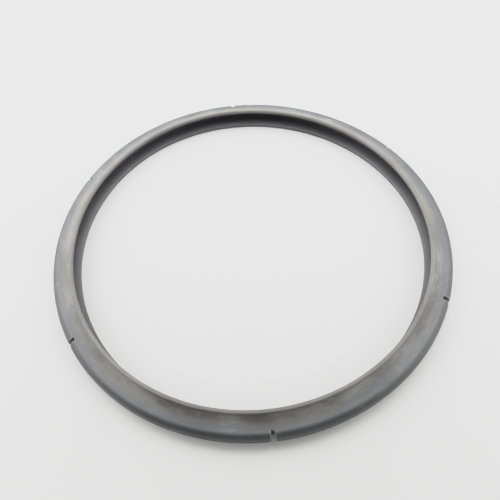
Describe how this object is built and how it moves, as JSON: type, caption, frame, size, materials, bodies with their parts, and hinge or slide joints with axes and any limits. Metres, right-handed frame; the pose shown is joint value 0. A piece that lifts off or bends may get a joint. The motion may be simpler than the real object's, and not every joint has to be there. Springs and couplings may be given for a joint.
{
  "type": "pressure cooker sealing ring",
  "caption": "Silicone sealing ring for a pressure cooker lid: a C-shaped section open to the inside, two hollowed sealing lips and a rounded outer nose with notches cut through it.",
  "frame": {"origin": "centre of the circle that the ring rests on, in the plane of its lower lip's crest", "axes": "+Z along the ring's axis, from the lower lip to the upper lip, which seals against the lid; one notch is at +Y"},
  "size_m": [0.24, 0.24, 0.0146],
  "materials": {
    "silicone_rubber": "satin grey silicone, slightly cloudy"
  },
  "bodies": {
    "root": {"sealing_ring": "silicone_rubber"}
  },
  "joints": []
}
